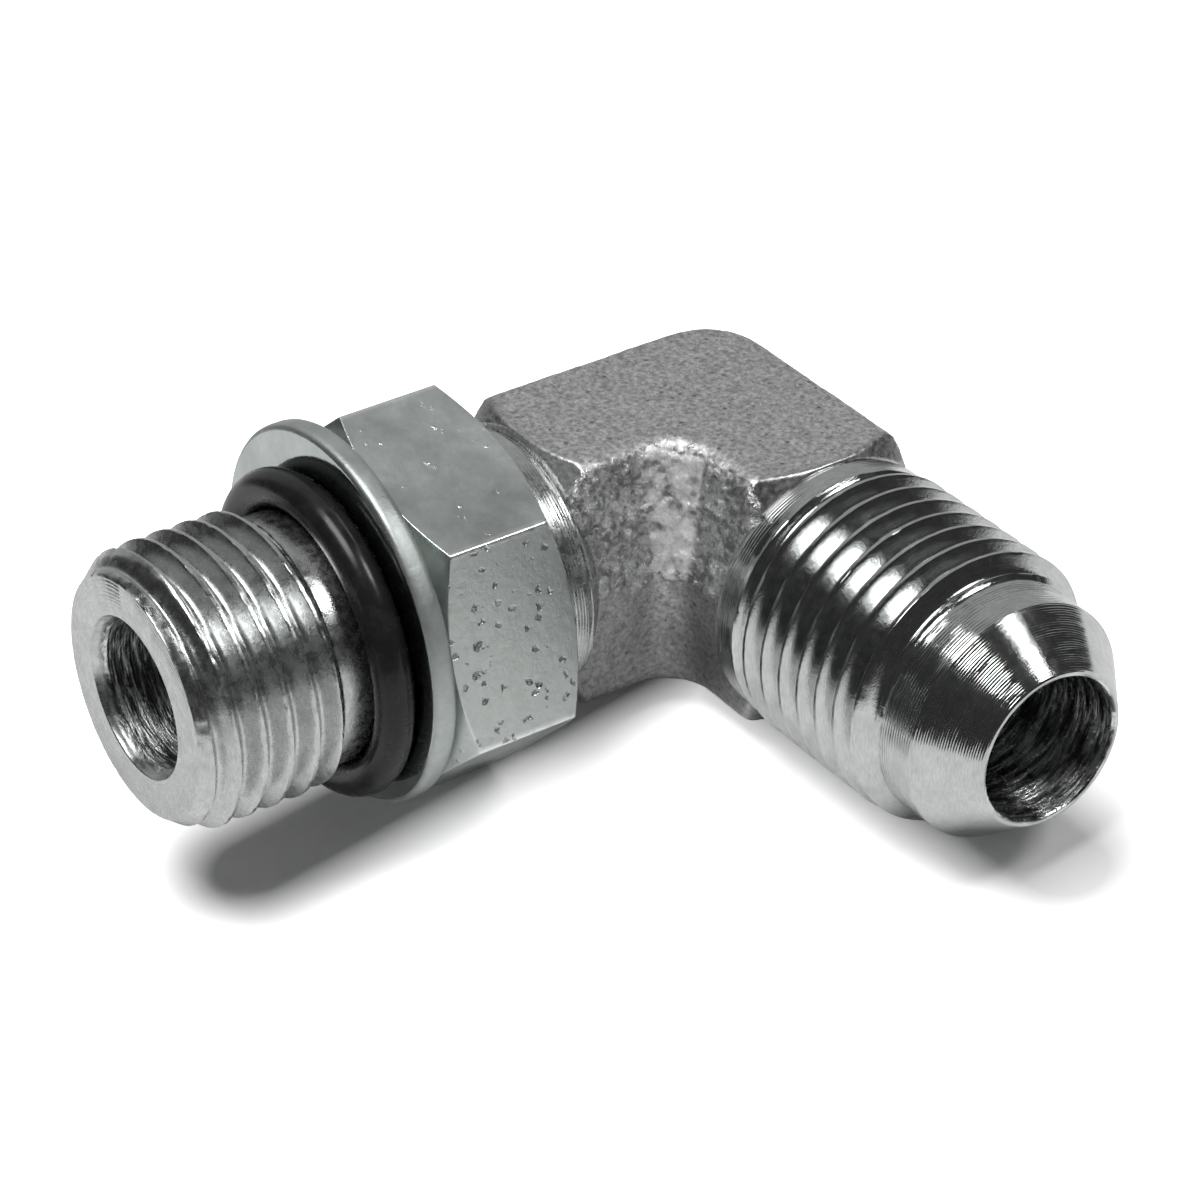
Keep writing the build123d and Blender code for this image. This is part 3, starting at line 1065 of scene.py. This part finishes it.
def add_world():
    """White for the camera, and for all else a dim room with a pale wall behind the object."""
    world = bpy.data.worlds.new("studio")
    bpy.context.scene.world = world
    world.use_nodes = True
    tree = world.node_tree
    tree.nodes.clear()
    path = tree.nodes.new("ShaderNodeLightPath")
    place = tree.nodes.new("ShaderNodeTexCoord")
    toward = tree.nodes.new("ShaderNodeVectorMath")
    toward.operation = "DOT_PRODUCT"
    toward.inputs[1].default_value = WALL_DIRECTION
    wall = tree.nodes.new("ShaderNodeMapRange")
    wall.interpolation_type = "SMOOTHSTEP"
    for key, value in (("From Min", 0.60), ("From Max", 0.74), ("To Min", 0.05), ("To Max", 0.52)):
        wall.inputs[key].default_value = value
    tree.links.new(place.outputs["Generated"], toward.inputs[0])
    tree.links.new(toward.outputs["Value"], wall.inputs["Value"])
    white = tree.nodes.new("ShaderNodeBackground")
    white.inputs["Color"].default_value = (1, 1, 1, 1)
    white.inputs["Strength"].default_value = 1.0
    room = tree.nodes.new("ShaderNodeBackground")
    level = tree.nodes.new("ShaderNodeMix")
    level.inputs["A"].default_value = 0.16
    tree.links.new(path.outputs["Is Glossy Ray"], level.inputs["Factor"])
    tree.links.new(wall.outputs["Result"], level.inputs["B"])
    tree.links.new(level.outputs["Result"], room.inputs["Strength"])
    mix = tree.nodes.new("ShaderNodeMixShader")
    out = tree.nodes.new("ShaderNodeOutputWorld")
    tree.links.new(path.outputs["Is Camera Ray"], mix.inputs["Fac"])
    tree.links.new(room.outputs[0], mix.inputs[1])
    tree.links.new(white.outputs[0], mix.inputs[2])
    tree.links.new(mix.outputs[0], out.inputs["Surface"])


def paper(sizes):
    """White paper that the camera sees whiter away from the object, where its shadow ends."""
    finish = Finish("paper", 0.0, 0.9)
    finish.shader.inputs["Base Color"].default_value = (*sizes.floor, 1)
    finish.shader.inputs["Specular IOR Level"].default_value = 0.0
    parts = finish.node("SeparateXYZ", None, Vector=finish.place).outputs
    reaches = []
    for across, along, start, end in ((parts[1], parts[0], 0.0, 0.028), (parts[0], parts[1], -0.0285, 0.0)):
        over = finish.maths("MAXIMUM", finish.maths("SUBTRACT", along, end), finish.maths("SUBTRACT", start, along))
        over = finish.maths("MAXIMUM", over, 0.0)
        squares = (finish.maths("POWER", finish.maths("ABSOLUTE", across), 2.0), finish.maths("POWER", over, 2.0))
        reaches.append(finish.maths("SQRT", finish.maths("ADD", *squares)))
    near = finish.maths("MINIMUM", *reaches)
    glow = finish.ramp(near, 0.002, 0.0065, 0.02, 1.0)
    seen = finish.node("LightPath").outputs["Is Camera Ray"]
    finish.feed(finish.shader.inputs["Emission Color"], (1, 1, 1, 1))
    finish.feed(finish.shader.inputs["Emission Strength"], finish.maths("MULTIPLY", glow, seen))
    return finish.material


class FITTING_OT_stage(bpy.types.Operator):
    """Sets the camera, the white floor and the studio lights"""

    bl_idname = "fitting.stage"
    bl_label = "Stage"

    def execute(self, context):
        sizes = context.scene.fitting_stage
        camera = bpy.data.cameras.new("camera")
        camera.lens = sizes.lens
        camera.sensor_width = 36
        camera.shift_x, camera.shift_y = sizes.shift
        camera.clip_start, camera.clip_end = 0.01, 10
        eye = bpy.data.objects.new("camera", camera)
        eye.location = sizes.camera_place
        eye.rotation_euler = sizes.camera_turn
        context.scene.collection.objects.link(eye)
        context.scene.camera = eye

        work = bmesh.new()
        bmesh.ops.create_grid(work, x_segments=1, y_segments=1, size=0.1)
        mesh = bpy.data.meshes.new("floor")
        work.to_mesh(mesh)
        work.free()
        floor = bpy.data.objects.new("floor", mesh)
        floor.location = (0, 0, cad_box[0].z - 0.00002)
        context.scene.collection.objects.link(floor)
        floor.data.materials.append(paper(sizes))

        add_world()
        add_lamp("side_lamp", (0.224, 0.249, 0.372), (0, 0, 0), (0.11, 0.11), 0.75)
        add_lamp("top_lamp", (0.0, -0.1, 0.49), (0, 0, 0), (0.30, 0.21), 1.95)
        context.scene.view_settings.view_transform = "Standard"
        return {"FINISHED"}


class FITTING_PT_panel(bpy.types.Panel):
    """Lists the pieces of the fitting"""

    bl_label = "Fitting"
    bl_idname = "FITTING_PT_panel"
    bl_space_type = "VIEW_3D"
    bl_region_type = "UI"
    bl_category = "Fitting"

    def draw(self, context):
        for operator in OPERATORS:
            self.layout.operator(operator.bl_idname)


OPERATORS = (
    FITTING_OT_forging,
    FITTING_OT_flare_end,
    FITTING_OT_stud_end,
    FITTING_OT_nut,
    FITTING_OT_washer,
    FITTING_OT_ring,
    FITTING_OT_stage,
)
GROUPS = {
    "fitting_thread": ThreadSizes,
    "fitting_forging": ForgingSizes,
    "fitting_flare": FlareSizes,
    "fitting_stud": StudSizes,
    "fitting_turned": TurnedColours,
    "fitting_nut": NutSizes,
    "fitting_washer": WasherSizes,
    "fitting_ring": RingSizes,
    "fitting_stage": StageSizes,
}


def register():
    for name, group in GROUPS.items():
        bpy.utils.register_class(group)
        setattr(bpy.types.Scene, name, PointerProperty(type=group))
    for operator in OPERATORS:
        bpy.utils.register_class(operator)
    bpy.utils.register_class(FITTING_PT_panel)


def unregister():
    bpy.utils.unregister_class(FITTING_PT_panel)
    for operator in OPERATORS:
        bpy.utils.unregister_class(operator)
    for name, group in GROUPS.items():
        delattr(bpy.types.Scene, name)
        bpy.utils.unregister_class(group)


def main():
    register()
    bpy.ops.fitting.forging()
    bpy.ops.fitting.flare_end()
    bpy.ops.fitting.stud_end()
    bpy.ops.fitting.nut()
    bpy.ops.fitting.washer()
    bpy.ops.fitting.ring()
    bpy.ops.fitting.stage()


if __name__ == "__main__":
    main()
